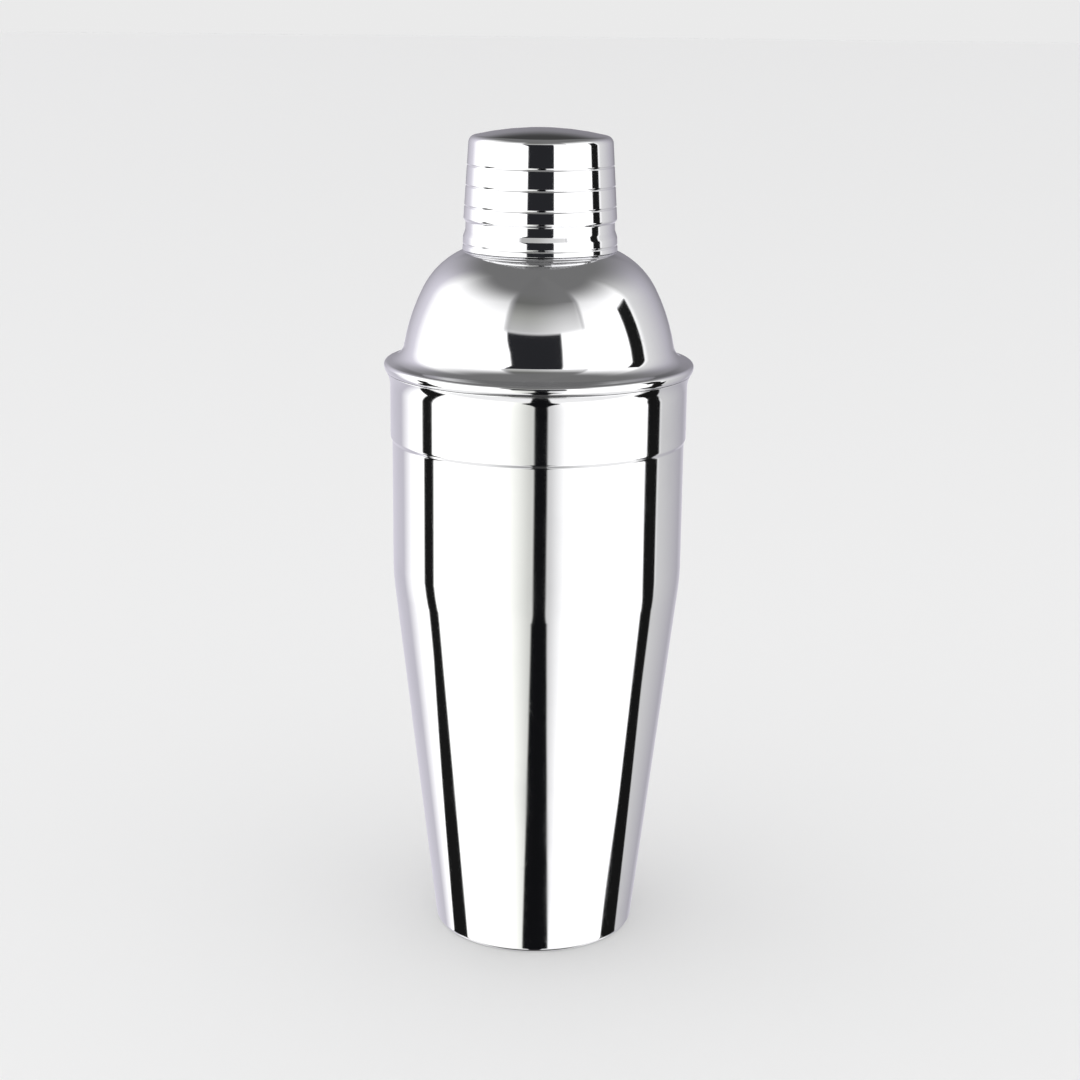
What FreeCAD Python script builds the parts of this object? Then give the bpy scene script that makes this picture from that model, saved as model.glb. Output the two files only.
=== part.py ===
"""Three-piece cobbler cocktail shaker in drawn stainless steel sheet.

A tall cup stands on a flat foot ring. The strainer top plugs into the cup's collar and rests on its
lip, a perforated plate is pressed into the top's neck, and a cap covers the neck.

Millimetres, +Z up. The origin is on the shaker's axis, at the plane that the foot ring stands on.
Every piece is a sheet: an outline of its outer face, given as corners with a bend radius each, is
moved inwards by the sheet's thickness to give the inner face, and the two are turned about the axis.
"""

import FreeCAD, Part
import math
import os

# Sheet thickness of each piece
CUP_WALL = 0.6
TOP_WALL = 0.6
PLATE_WALL = 0.5
CAP_WALL = 0.6

# Cup: foot ring, cone, upper wall, collar and lip
CUP_HEIGHT = 170.7          # foot ring to the lip's level rim
BASE_R = 30.0               # radius where the cone's line meets the table
BASE_CORNER_R = 1.5
FOOT_RING_W = 4.0           # from the foot ring's inner edge to BASE_R
DISH_RISE = 1.2             # how far the middle of the base is raised
DISH_RUN = 2.5              # radial run of the slope between foot ring and raised middle
DISH_BEND_R = 1.5
WALL_R = 42.7               # upper wall, outer face
UPPER_WALL_H = 40.6         # height of the upper wall, from the cone's end to the collar's step
WALL_BEND_R = 60.0
COLLAR_STEP = 0.55          # how far the collar stands out from the upper wall
COLLAR_RUN = 1.1            # height of the slope between upper wall and collar
COLLAR_BEND_R = 1.0
LIP_ANGLE = 30.0            # how far the lip leans out at its rim, from vertical
LIP_BEND_R = 8.0

# Strainer top: skirt, flange, dome and neck
SKIRT_CLEARANCE = 0.12      # radial, between the skirt and the inside of the collar
SKIRT_DEPTH = 15.0          # flange underside to the skirt's lower edge
SKIRT_LEAD_H = 2.5          # height of the tapered lead-in
SKIRT_LEAD_IN = 0.35        # how far the lead-in narrows
SKIRT_LEAD_BEND_R = 8.0
SKIRT_BEND_R = 0.4
SKIRT_TO_STEP = 4.2         # skirt's lower edge to the top of the collar's step
LIP_GAP = 0.1               # between the lip and the flange that rests over it
FLANGE_OVERHANG = 0.68      # flange edge beyond the lip's outer edge
FLANGE_NOSE_R = 1.15        # upper half of the rounded edge
FLANGE_UNDER_R = 2.2        # lower half, which leans in to carry on the lip's line
FLANGE_FOLD_R = 0.65        # where the edge folds in to the underside
FLANGE_THICKNESS = 2.65     # underside to the corner where the sloped top meets the edge
FLANGE_SLOPE = 16.0         # fall of the flange's top, from horizontal
DOME_INSET = 5.3            # flange edge to the start of the dome
DOME_FILLET_R = 5.5
DOME_LEAN = 10.0            # lean of the dome's side where it leaves the flange, from vertical
DOME_HEIGHT = 35.25         # flange underside to the neck's foot
SHOULDER_LEAN = 68.0        # lean of the dome where it reaches the neck, from vertical
NECK_R = 20.75              # neck, outer face
NECK_HEIGHT = 18.0
NECK_FILLET_R = 1.2
NECK_RIM_W = 1.5            # neck's outer face to the edge of its turned-in rim
NECK_RIM_BEND_R = 1.3

# Strainer plate
PLATE_DEPTH = 6.0           # neck rim to the top edge of the plate's own rim
PLATE_RIM_H = 3.4           # height of the plate's upturned rim
PLATE_BEND_R = 1.6
PLATE_SLOPE = 7.0           # rise of the dished plate at its edge, from horizontal
HOLE_R = 1.4
HOLE_PITCH = 5.0            # ring to ring, and about the spacing along each ring
HOLE_TO_BEND = 1.0          # least gap between a hole and the bend of the plate's rim

# Cap
CAP_HEIGHT = 34.3
CAP_SIDE_LEAN = 3.7         # draft of the cap's side, from vertical; the neck has the same
CAP_CORNER_R = 2.2
CROWN_SLOPE = 13.0          # fall of the domed crown at its edge, from horizontal
CAP_GAP = 0.1               # between the cap's rim and the dome's shoulder
CAP_CLEARANCE = 0.12        # radial, between the neck and the cap's grip ring
GRIP_Z = 5.6                # grip ring above the cap's rim
GRIP_BEND_R = 2.0
FLARE_H = 1.9               # height of the flare from the grip ring down to the rim's bead
BEAD_OUT = 0.62             # how far the top of the rim's bead stands out from the grip ring
RIM_OUT = 0.8               # how far the rim stands out from the grip ring
BEAD_BEND_R = 2.0
BAND_IN = 0.12              # how far the top of the plain band under the step lies inside the grip ring
SIDE_OUT = 0.53             # how far the foot of the cap's side stands out from the grip ring
STEP_Z = 8.7                # step under the side, above the cap's rim
STEP_H = 0.6
STEP_BEND_R = 0.9
STEP_FOOT_BEND_R = 0.45
LINE_COUNT = 3              # fine lines turned round the cap
LINE_TOP_DROP = 10.5        # cap's top to the first line
LINE_PITCH = 5.7
RIM_LINE_H = 1.6            # one more fine line, above the cap's rim
LINE_R = 0.7                # radius of a line's rounded bottom
LINE_DEPTH = 0.17

AXIS_POINT = FreeCAD.Vector(0, 0, 0)
AXIS = FreeCAD.Vector(0, 0, 1)
FULL_TURN = 360.0
LEFT = 1
RIGHT = -1
SHORTEST_EDGE = 1e-5
HOLE_OVERRUN = 5.0


def direction(start, end):
    """Unit vector (r, z) from one corner to the next."""
    run_r = end[0] - start[0]
    run_z = end[1] - start[1]
    length = math.hypot(run_r, run_z)
    return run_r / length, run_z / length


def turn(before, after):
    """Angle in radians between two unit vectors, positive to the left."""
    cross = before[0] * after[1] - before[1] * after[0]
    dot = before[0] * after[0] + before[1] * after[1]
    return math.atan2(cross, dot)


def bend_length(bend_r, turn_degrees):
    """Distance from a corner to where a bend of this radius starts."""
    return bend_r * math.tan(math.radians(turn_degrees) / 2)


def inner_corners(corners, wall, side):
    """The corners moved by the sheet's thickness to one side, with their bends made to match."""
    moved = []
    last = len(corners) - 1
    for i, (r, z, bend_r) in enumerate(corners):
        before = direction(corners[max(i, 1) - 1], corners[max(i, 1)])
        after = direction(corners[min(i, last - 1)], corners[min(i, last - 1) + 1])
        angle = turn(before, after)
        normal_before = (-side * before[1], side * before[0])
        normal_after = (-side * after[1], side * after[0])
        share = wall / (1 + math.cos(angle))
        new_r = r + share * (normal_before[0] + normal_after[0])
        new_z = z + share * (normal_before[1] + normal_after[1])
        new_bend_r = bend_r - wall * math.copysign(1, angle * side) if bend_r else 0
        moved.append((new_r, new_z, new_bend_r))
    return moved


def point(r, z):
    return FreeCAD.Vector(r, 0, z)


def bent_edges(corners):
    """Straight runs between the corners, joined at each by an arc of its bend radius."""
    edges = []
    here = point(corners[0][0], corners[0][1])
    for i in range(1, len(corners) - 1):
        r, z, bend_r = corners[i]
        before = direction(corners[i - 1], corners[i])
        after = direction(corners[i], corners[i + 1])
        half = abs(turn(before, after)) / 2
        back = bend_r * math.tan(half)
        start = point(r - back * before[0], z - back * before[1])
        end = point(r + back * after[0], z + back * after[1])
        towards = direction((0, 0), (after[0] - before[0], after[1] - before[1]))
        middle_gap = bend_r / math.cos(half) - bend_r
        middle = point(r + middle_gap * towards[0], z + middle_gap * towards[1])
        if here.distanceToPoint(start) > SHORTEST_EDGE:
            edges.append(Part.LineSegment(here, start).toShape())
        edges.append(Part.Arc(start, middle, end).toShape())
        here = end
    edges.append(Part.LineSegment(here, point(corners[-1][0], corners[-1][1])).toShape())
    return edges


def turned_sheet(corners, wall, side):
    """Solid of revolution of a sheet whose outer face follows the corners."""
    outer = Part.Wire(bent_edges(corners))
    inner = Part.Wire(bent_edges(inner_corners(corners, wall, side)))
    ends = []
    for outer_end, inner_end in zip(end_points(outer), end_points(inner)):
        ends.append(Part.LineSegment(outer_end, inner_end).toShape())
    section = Part.Face(Part.Wire(Part.__sortEdges__(outer.Edges + inner.Edges + ends)))
    return section.revolve(AXIS_POINT, AXIS, FULL_TURN)


def end_points(wire):
    first = wire.OrderedVertexes[0].Point
    last = wire.OrderedVertexes[-1].Point
    return first, last


def crown_corners(middle_z, edge_r, slope, bend_r, turn_degrees):
    """Corners of a shallow crown, from the axis to the bend at its edge.

    The crown is one arc from the middle, where it is level, to the start of the edge's bend, and the
    turn is the bend's own. A negative slope makes a dish.
    """
    back = bend_length(bend_r, turn_degrees)
    cosine = math.cos(math.radians(slope))
    arc_back = (edge_r - back * cosine) / (1 + cosine)
    edge_z = middle_z - (arc_back + back) * math.sin(math.radians(slope))
    crown_r = arc_back / math.tan(math.radians(abs(slope)) / 2)
    return [(0, middle_z, 0), (arc_back, middle_z, crown_r), (edge_r, edge_z, bend_r)]


def two_bends(start, start_way, end, end_way):
    """Two corners whose bends make a smooth curve of two arcs between two points.

    The four tangents are equally long, so the arcs meet halfway between the two corners.
    """
    gap = (end[0] - start[0], end[1] - start[1])
    ways = (start_way[0] + end_way[0], start_way[1] + end_way[1])
    a = 2 * (1 - start_way[0] * end_way[0] - start_way[1] * end_way[1])
    b = 2 * (gap[0] * ways[0] + gap[1] * ways[1])
    c = -(gap[0] ** 2 + gap[1] ** 2)
    back = (-b + math.sqrt(b * b - 4 * a * c)) / (2 * a)
    first = (start[0] + back * start_way[0], start[1] + back * start_way[1])
    second = (end[0] - back * end_way[0], end[1] - back * end_way[1])
    middle_way = direction(first, second)
    first_r = back / math.tan(abs(turn(start_way, middle_way)) / 2)
    second_r = back / math.tan(abs(turn(middle_way, end_way)) / 2)
    return [(*first, first_r), (*second, second_r)]


def way(lean):
    """Unit vector (r, z) that points down and leans outwards by this angle from vertical."""
    return math.sin(math.radians(lean)), -math.cos(math.radians(lean))


def ahead(start, start_way, distance):
    return start[0] + distance * start_way[0], start[1] + distance * start_way[1]


# Places that more than one piece needs
collar_r = WALL_R + COLLAR_STEP
collar_inner_r = collar_r - CUP_WALL
lip_out = LIP_BEND_R * (1 - math.cos(math.radians(LIP_ANGLE)))
lip_r = collar_r + lip_out
skirt_r = collar_inner_r - SKIRT_CLEARANCE
flange_z = CUP_HEIGHT + LIP_GAP
flange_r = lip_r + FLANGE_OVERHANG
lip_slope = math.tan(math.radians(LIP_ANGLE))
fold_r = lip_r + LIP_GAP * lip_slope
step_top_z = flange_z - SKIRT_DEPTH - SKIRT_TO_STEP
neck_foot_z = flange_z + DOME_HEIGHT
neck_top_z = neck_foot_z + NECK_HEIGHT
draft = math.tan(math.radians(CAP_SIDE_LEAN))
grip_r = NECK_R + CAP_CLEARANCE + CAP_WALL


def neck_outer_r(z):
    """Radius of the neck's outer face, which narrows upwards with the cap's draft."""
    return NECK_R - (z - neck_foot_z) * draft


def neck_inner_r(z):
    return neck_outer_r(z) - TOP_WALL / math.cos(math.radians(CAP_SIDE_LEAN))


def dome_corners():
    """Corners of the dome from the neck's foot down to the flange, as the outer face meets them."""
    neck_way = way(SHOULDER_LEAN)
    side_way = way(DOME_LEAN)
    neck_turn = SHOULDER_LEAN - CAP_SIDE_LEAN
    shoulder_start = ahead((NECK_R, neck_foot_z), neck_way, bend_length(NECK_FILLET_R, neck_turn))
    foot_r = flange_r - DOME_INSET
    foot_z = flange_z + FLANGE_THICKNESS + DOME_INSET * math.tan(math.radians(FLANGE_SLOPE))
    fillet_turn = 90 - FLANGE_SLOPE - DOME_LEAN
    side_end = ahead((foot_r, foot_z), side_way, -bend_length(DOME_FILLET_R, fillet_turn))
    curve = two_bends(shoulder_start, neck_way, side_end, side_way)
    return [(NECK_R, neck_foot_z, NECK_FILLET_R)] + curve + [(foot_r, foot_z, DOME_FILLET_R)]


def shoulder_height(r):
    """Height of the dome's outer face at a radius on its shoulder."""
    corners = dome_corners()
    corner_r, corner_z, shoulder_r = corners[1]
    before = direction(corners[0], corners[1])
    after = direction(corners[1], corners[2])
    back = shoulder_r * math.tan(abs(turn(before, after)) / 2)
    start = ahead((corner_r, corner_z), before, -back)
    centre = (start[0] + before[1] * shoulder_r, start[1] - before[0] * shoulder_r)
    return centre[1] + math.sqrt(shoulder_r ** 2 - (r - centre[0]) ** 2)


cap_rim_z = shoulder_height(grip_r + RIM_OUT - CAP_WALL) + CAP_GAP
cap_top_z = cap_rim_z + CAP_HEIGHT


def make_cup():
    """One drawn shell: dished base, foot ring, cone, upper wall, collar and level-trimmed lip."""
    foot_r = BASE_R - FOOT_RING_W
    lip_back = bend_length(LIP_BEND_R, LIP_ANGLE)
    lip_start_z = CUP_HEIGHT - LIP_BEND_R * math.sin(math.radians(LIP_ANGLE))
    lip_end = ahead((collar_r, lip_start_z + lip_back), way(180 - LIP_ANGLE), lip_back + CUP_WALL)
    corners = [
        (0, DISH_RISE, 0),
        (foot_r - DISH_RUN, DISH_RISE, DISH_BEND_R),
        (foot_r, 0, DISH_BEND_R),
        (BASE_R, 0, BASE_CORNER_R),
        (WALL_R, step_top_z - COLLAR_RUN - UPPER_WALL_H, WALL_BEND_R),
        (WALL_R, step_top_z - COLLAR_RUN, COLLAR_BEND_R),
        (collar_r, step_top_z, COLLAR_BEND_R),
        (collar_r, lip_start_z + lip_back, LIP_BEND_R),
        (*lip_end, 0),
    ]
    shell = turned_sheet(corners, CUP_WALL, LEFT)
    level = Part.makeCylinder(2 * lip_r, CUP_HEIGHT, AXIS_POINT, AXIS)
    return shell.common(level)


def make_strainer_top():
    """One drawn shell: turned-in neck rim, neck, dome, folded flange and the skirt that plugs in."""
    skirt_end_z = flange_z - SKIRT_DEPTH
    corners = [
        (neck_outer_r(neck_top_z) - NECK_RIM_W, neck_top_z, 0),
        (neck_outer_r(neck_top_z), neck_top_z, NECK_RIM_BEND_R),
        *dome_corners(),
        (flange_r, flange_z + FLANGE_THICKNESS, FLANGE_NOSE_R),
        (flange_r, flange_z + (flange_r - fold_r) / lip_slope, FLANGE_UNDER_R),
        (fold_r, flange_z, FLANGE_FOLD_R),
        (skirt_r, flange_z, SKIRT_BEND_R),
        (skirt_r, skirt_end_z + SKIRT_LEAD_H, SKIRT_LEAD_BEND_R),
        (skirt_r - SKIRT_LEAD_IN, skirt_end_z, 0),
    ]
    return turned_sheet(corners, TOP_WALL, RIGHT)


def hole_places(flat_r):
    """Centres of the strainer holes: one in the middle and rings of six, twelve and so on."""
    rings = math.floor((flat_r - HOLE_TO_BEND - HOLE_R) / HOLE_PITCH)
    places = [(0, 0)]
    for ring in range(1, rings + 1):
        count = 6 * ring
        for i in range(count):
            angle = 2 * math.pi * i / count
            places.append((ring * HOLE_PITCH * math.cos(angle), ring * HOLE_PITCH * math.sin(angle)))
    return places


def make_strainer_plate():
    """Dished perforated disc with an upturned rim that is pressed into the neck."""
    rim_top_z = neck_top_z - PLATE_DEPTH
    bend_z = rim_top_z - PLATE_RIM_H
    edge_r = neck_inner_r(bend_z)
    edge_turn = 90 - PLATE_SLOPE + CAP_SIDE_LEAN
    corners = crown_corners(0, edge_r, -PLATE_SLOPE, PLATE_BEND_R, edge_turn)
    drop = bend_z - corners[-1][1]
    corners = [(r, z + drop, bend) for r, z, bend in corners]
    disc = turned_sheet(corners + [(neck_inner_r(rim_top_z), rim_top_z, 0)], PLATE_WALL, LEFT)
    low_z = corners[0][1] - HOLE_OVERRUN
    holes = []
    for x, y in hole_places(edge_r - bend_length(PLATE_BEND_R, edge_turn)):
        start = FreeCAD.Vector(x, y, low_z)
        holes.append(Part.makeCylinder(HOLE_R, PLATE_RIM_H + 2 * HOLE_OVERRUN, start, AXIS))
    return disc.cut(holes)


def make_cap():
    """Tapered drawn cup with a low crown, fine lines round it, a grip ring and a flared rim."""
    step_z = cap_rim_z + STEP_Z
    grip_z = cap_rim_z + GRIP_Z
    side_r = grip_r + SIDE_OUT
    crown_drop = crown_corners(0, side_r, CROWN_SLOPE, 0, 0)[-1][1]
    top_r = side_r - (cap_top_z + crown_drop - step_z) * draft
    edge_turn = 90 - CROWN_SLOPE - CAP_SIDE_LEAN
    corners = crown_corners(cap_top_z, top_r, CROWN_SLOPE, CAP_CORNER_R, edge_turn)
    edge_z = corners[-1][1]
    corners += [
        (side_r, step_z, STEP_BEND_R),
        (grip_r - BAND_IN, step_z - STEP_H, STEP_FOOT_BEND_R),
        (grip_r, grip_z, GRIP_BEND_R),
        (grip_r + BEAD_OUT, grip_z - FLARE_H, BEAD_BEND_R),
        (grip_r + RIM_OUT, cap_rim_z, 0),
    ]
    shell = turned_sheet(corners, CAP_WALL, RIGHT)
    places = []
    for i in range(LINE_COUNT):
        line_z = cap_top_z - LINE_TOP_DROP - i * LINE_PITCH
        places.append((side_r + (top_r - side_r) * (line_z - step_z) / (edge_z - step_z), line_z))
    bead_h = GRIP_Z - FLARE_H
    rim_line_out = RIM_OUT + (BEAD_OUT - RIM_OUT) * RIM_LINE_H / bead_h
    places.append((grip_r + rim_line_out, cap_rim_z + RIM_LINE_H))
    lines = []
    for line_r, line_z in places:
        centre = FreeCAD.Vector(0, 0, line_z)
        lines.append(Part.makeTorus(line_r + LINE_R - LINE_DEPTH, LINE_R, centre, AXIS))
    return shell.cut(lines)


def main():
    pieces = {
        "cup": make_cup(),
        "strainer_top": make_strainer_top(),
        "strainer_plate": make_strainer_plate(),
        "cap": make_cap(),
    }
    os.makedirs("parts", exist_ok=True)
    for name, shape in pieces.items():
        solid = shape.Solids[0]
        solid.exportStep("parts/" + name + ".step")
        box = solid.BoundBox
        print(name, "solids", len(shape.Solids), "valid", solid.isValid(), "volume", round(solid.Volume, 1),
              "z", round(box.ZMin, 3), round(box.ZMax, 3), "r", round(box.XMax, 3))


main()
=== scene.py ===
"""Cobbler cocktail shaker in polished steel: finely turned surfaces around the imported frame.

Each piece is a sheet of steel turned about the z axis. Its section is given as corners with a bend
radius each, in metres, in the frame's own coordinates: r outwards and z up.
"""

import math

import bpy
import numpy as np
from bpy.props import FloatProperty, FloatVectorProperty, IntProperty, PointerProperty
from bpy.types import Operator, Panel, PropertyGroup
from mathutils import Matrix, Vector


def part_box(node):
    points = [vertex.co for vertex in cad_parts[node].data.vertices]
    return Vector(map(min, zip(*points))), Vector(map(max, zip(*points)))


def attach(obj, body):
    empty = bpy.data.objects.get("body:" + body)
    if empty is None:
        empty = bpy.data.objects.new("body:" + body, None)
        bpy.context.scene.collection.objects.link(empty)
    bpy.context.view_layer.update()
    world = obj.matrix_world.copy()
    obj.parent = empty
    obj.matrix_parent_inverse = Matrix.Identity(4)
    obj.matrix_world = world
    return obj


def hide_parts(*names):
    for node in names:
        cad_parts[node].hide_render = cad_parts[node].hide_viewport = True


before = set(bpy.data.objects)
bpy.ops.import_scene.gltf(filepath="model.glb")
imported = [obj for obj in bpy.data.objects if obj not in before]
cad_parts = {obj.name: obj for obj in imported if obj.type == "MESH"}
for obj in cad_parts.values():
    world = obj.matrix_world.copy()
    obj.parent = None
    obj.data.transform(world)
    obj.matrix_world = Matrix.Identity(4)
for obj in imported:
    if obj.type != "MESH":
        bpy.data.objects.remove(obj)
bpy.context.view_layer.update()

bl_info = {
    "name": "Cobbler Shaker",
    "version": (1, 0, 0),
    "blender": (4, 5, 0),
    "location": "View3D > Sidebar > Shaker",
    "description": "Builds the sheets, finishes and studio of a three-piece cocktail shaker",
    "category": "Add Mesh",
}

MM = 0.001
LEFT = 1
RIGHT = -1
ALONG = "along"            # attribute: distance along a sheet's section, in metres
WELD = 1e-7                # points closer than this are one point
FLOOR_R = 40.0             # metres, so that the floor's edge is far away
FLOOR_RINGS = 40
FLOOR_AROUND = 96
LINE_POINTS = 25           # path points across each fine line of the cap
LAVENDER = (0.98, 0.95, 1.06)
CREAM = (1.0, 1.01, 0.96)
PLAIN = (1.0, 1.0, 1.0)
INK = (0.95, 0.98, 1.12)
DISPLAY_GAMMA = 2.2
STEEL_SHARE = 0.86         # of the light that falls on polished steel comes back

cup_low, cup_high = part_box("cup")
top_low, top_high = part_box("strainer_top")
plate_low, plate_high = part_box("strainer_plate")
cap_low, cap_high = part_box("cap")


# ---------------------------------------------------------------------------------------------
# Sizes and colours


def length(name, description, value_mm):
    return FloatProperty(name=name, description=description, default=value_mm * MM, unit="LENGTH")


def angle(name, description, degrees):
    value = math.radians(degrees)
    return FloatProperty(name=name, description=description, default=value, subtype="ANGLE")


def colour(name, description, value):
    return FloatVectorProperty(
        name=name, description=description, default=value, size=3, min=0.0, max=4.0, subtype="COLOR"
    )


class SheetSizes(PropertyGroup):
    """Sizes that all four sheets share."""

    wall: length("Wall", "Thickness of the cup, top and cap", 0.6)
    edge: length("Edge radius", "Rounding of the trimmed edges", 0.16)
    arc_step: angle("Arc step", "Largest turn between two points of a bend", 4.2)
    run_step: length("Run step", "Largest distance between two points of a straight run", 6.0)
    around: IntProperty(name="Around", description="Points around the axis", default=240, min=64)


class CupSizes(PropertyGroup):
    """Outer face of the cup, from the dished base to the lip."""

    base_r: length("Base radius", "Where the cone's line meets the table", 30.0)
    base_corner: length("Base corner", "Bend radius of the base's corner", 1.5)
    foot_ring: length("Foot ring", "Width from the foot ring's inner edge to the base radius", 4.0)
    dish_rise: length("Dish rise", "How far the middle of the base is raised", 1.2)
    dish_run: length("Dish run", "Radial run of the slope beside the foot ring", 2.5)
    dish_bend: length("Dish bend", "Bend radius beside the foot ring", 1.5)
    wall_r: length("Upper wall", "Radius of the upper wall", 42.7)
    wall_h: length("Upper wall height", "From the cone's end to the collar's step", 40.6)
    wall_bend: length("Wall bend", "Bend radius between cone and upper wall", 60.0)
    step: length("Collar step", "How far the collar stands out", 0.55)
    step_h: length("Step height", "Height of the slope below the collar", 1.1)
    step_bend: length("Step bend", "Bend radius of the step", 1.0)
    collar_h: length("Collar height", "From the lip's rim down to the top of the step", 19.1)
    lip_bend: length("Lip bend", "Bend radius of the flared lip", 8.0)
    lip_h: length("Lip height", "From where the lip starts to flare to its rim", 4.0)
    lip_lean: angle("Lip lean", "Lean of the lip at its rim", 27.0)


class TopSizes(PropertyGroup):
    """Outer face of the strainer top, from the neck's rim to the skirt."""

    skirt_gap: length("Skirt gap", "Radial gap between skirt and collar", 0.12)
    skirt_lead_h: length("Lead-in height", "Height of the skirt's tapered end", 2.5)
    skirt_lead_in: length("Lead-in", "How far the skirt's end narrows", 0.35)
    skirt_lead_bend: length("Lead-in bend", "Bend radius above the lead-in", 8.0)
    skirt_bend: length("Skirt bend", "Bend radius under the flange", 0.4)
    lip_gap: length("Lip gap", "Between the lip and the flange", 0.1)
    nose: length("Flange nose", "Bend radius of the edge's upper half", 1.15)
    under: length("Flange under", "Bend radius of the edge's lower half", 2.2)
    under_lean: angle("Under lean", "How far the edge's lower half leans in", 30.0)
    fold: length("Flange fold", "Bend radius where the edge folds in", 0.65)
    flange_h: length("Flange height", "Underside to the corner of the sloped top", 2.65)
    flange_slope: angle("Flange slope", "Fall of the flange's top", 16.0)
    dome_inset: length("Dome inset", "Flange edge to the start of the dome", 5.3)
    dome_fillet: length("Dome fillet", "Bend radius between dome and flange", 5.5)
    dome_lean: angle("Dome lean", "Lean of the dome's side at its foot", 10.0)
    dome_h: length("Dome height", "Flange underside to the neck's foot", 35.25)
    shoulder_lean: angle("Shoulder lean", "Lean of the dome at the neck", 68.0)
    neck_r: length("Neck radius", "Outer radius at the neck's foot", 20.75)
    neck_fillet: length("Neck fillet", "Bend radius at the neck's foot", 1.2)
    neck_rim: length("Neck rim", "Width of the turned-in rim", 1.5)
    neck_rim_bend: length("Neck rim bend", "Bend radius of the neck's rim", 1.3)


class PlateSizes(PropertyGroup):
    """Perforated plate in the neck."""

    rim_h: length("Rim height", "Height of the upturned rim", 3.4)
    bend: length("Rim bend", "Bend radius of the rim", 1.6)
    slope: angle("Slope", "Rise of the dish at its edge", 7.0)
    hole_r: length("Hole radius", "Radius of each hole", 1.4)
    hole_pitch: length("Hole pitch", "Distance from ring to ring", 5.0)
    hole_edge: length("Hole edge", "Rounding of each hole's edge", 0.1)
    rings: IntProperty(name="Rings", description="Rings of holes around the middle one", default=3, min=1)
    plate_wall: length("Wall", "Thickness of the plate", 0.5)
    around: IntProperty(name="Around", description="Points around the axis", default=288, min=72, step=72)


class CapSizes(PropertyGroup):
    """Outer face of the cap, from the crown to the beaded rim."""

    lean: angle("Draft", "Draft of the cap's side and of the neck", 3.7)
    corner: length("Corner", "Bend radius between crown and side", 2.2)
    crown_slope: angle("Crown slope", "Fall of the crown at its edge", 13.0)
    grip_gap: length("Grip gap", "Radial gap between neck and grip ring", 0.12)
    grip_z: length("Grip height", "Grip ring above the rim", 5.6)
    grip_bend: length("Grip bend", "Bend radius of the grip ring", 2.0)
    flare_h: length("Flare height", "Grip ring down to the rim's bead", 1.75)
    bead_out: length("Bead", "How far the bead stands out from the grip ring", 0.62)
    rim_out: length("Rim", "How far the rim stands out from the grip ring", 0.8)
    bead_bend: length("Bead bend", "Bend radius of the bead", 2.0)
    band_in: length("Band", "How far the top of the band under the step lies inside the grip ring", 0.12)
    side_out: length("Side", "How far the side's foot stands out from the grip ring", 0.53)
    step_z: length("Step", "Step under the side, above the rim", 8.7)
    step_h: length("Step height", "Height of the step", 0.6)
    step_bend: length("Step bend", "Bend radius at the top of the step", 0.9)
    step_foot_bend: length("Step foot bend", "Bend radius at the foot of the step", 0.45)
    line_drop: length("First line", "Cap's top to the first fine line", 10.5)
    line_pitch: length("Line pitch", "Distance between the fine lines", 5.7)
    rim_line: length("Rim line", "One more fine line, above the rim", 1.6)
    line_depth: length("Line depth", "Depth of a fine line", 0.17)
    line_half: length("Line half width", "Half the width of a fine line", 0.46)
    lines: IntProperty(name="Lines", description="Fine lines round the cap", default=3, min=0)


class FinishSettings(PropertyGroup):
    """Colours and textures of the two steel finishes."""

    polished: colour("Polished steel", "Colour of the mirror-polished outside", (0.86, 0.86, 0.87))
    polished_dull: colour("Dulled steel", "Colour where hands have dulled it", (0.80, 0.80, 0.815))
    satin: colour("Satin steel", "Colour of the spun inside", (0.83, 0.83, 0.84))
    # Painted shade: the colour that the grooves of the spun inside get in place of their shade
    satin_groove_shade: colour("Satin shadow", "Colour in the grooves of the spun inside", (0.68, 0.68, 0.69))


class StudioSettings(PropertyGroup):
    """Camera, floor and light."""

    aim_z: length("Aim height", "Height that the camera looks at", 119.5)
    aim_x: length("Aim offset", "Sideways offset of the point that the camera looks at", 0.87)
    distance: length("Distance", "Camera to the point it looks at", 596.0)
    pitch: angle("Pitch", "How far the camera looks down", 14.5)
    roll: angle("Roll", "How far the camera is turned about its view", 0.6)
    lens: FloatProperty(name="Lens", description="Focal length in millimetres", default=66.67)
    floor: colour("Floor", "Colour of the floor", (0.88, 0.88, 0.88))
    backdrop: colour("Backdrop", "Colour behind the floor", (0.825, 0.825, 0.825))
    fill: colour("Fill", "Plain light that the floor gets", (1.0, 1.0, 1.0))
    softbox: FloatProperty(name="Softbox", description="Brightness of the softboxes", default=1.25)


# ---------------------------------------------------------------------------------------------
# Sections: corners with bend radii, worked out in the (r, z) plane


def unit(vector):
    return vector / np.linalg.norm(vector)


def turn_between(before, after):
    """Angle between two unit vectors: the arctangent of their cross over their dot, left positive."""
    return math.atan2(before[0] * after[1] - before[1] * after[0], float(np.dot(before, after)))


def tangent_length(bend_r, turn):
    """Distance from a corner to where its bend starts: bend radius times tan of half the turn."""
    return bend_r * math.tan(abs(turn) / 2)


def down(lean):
    """Unit vector that points down and leans outwards."""
    return np.array([math.sin(lean), -math.cos(lean)])


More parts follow.
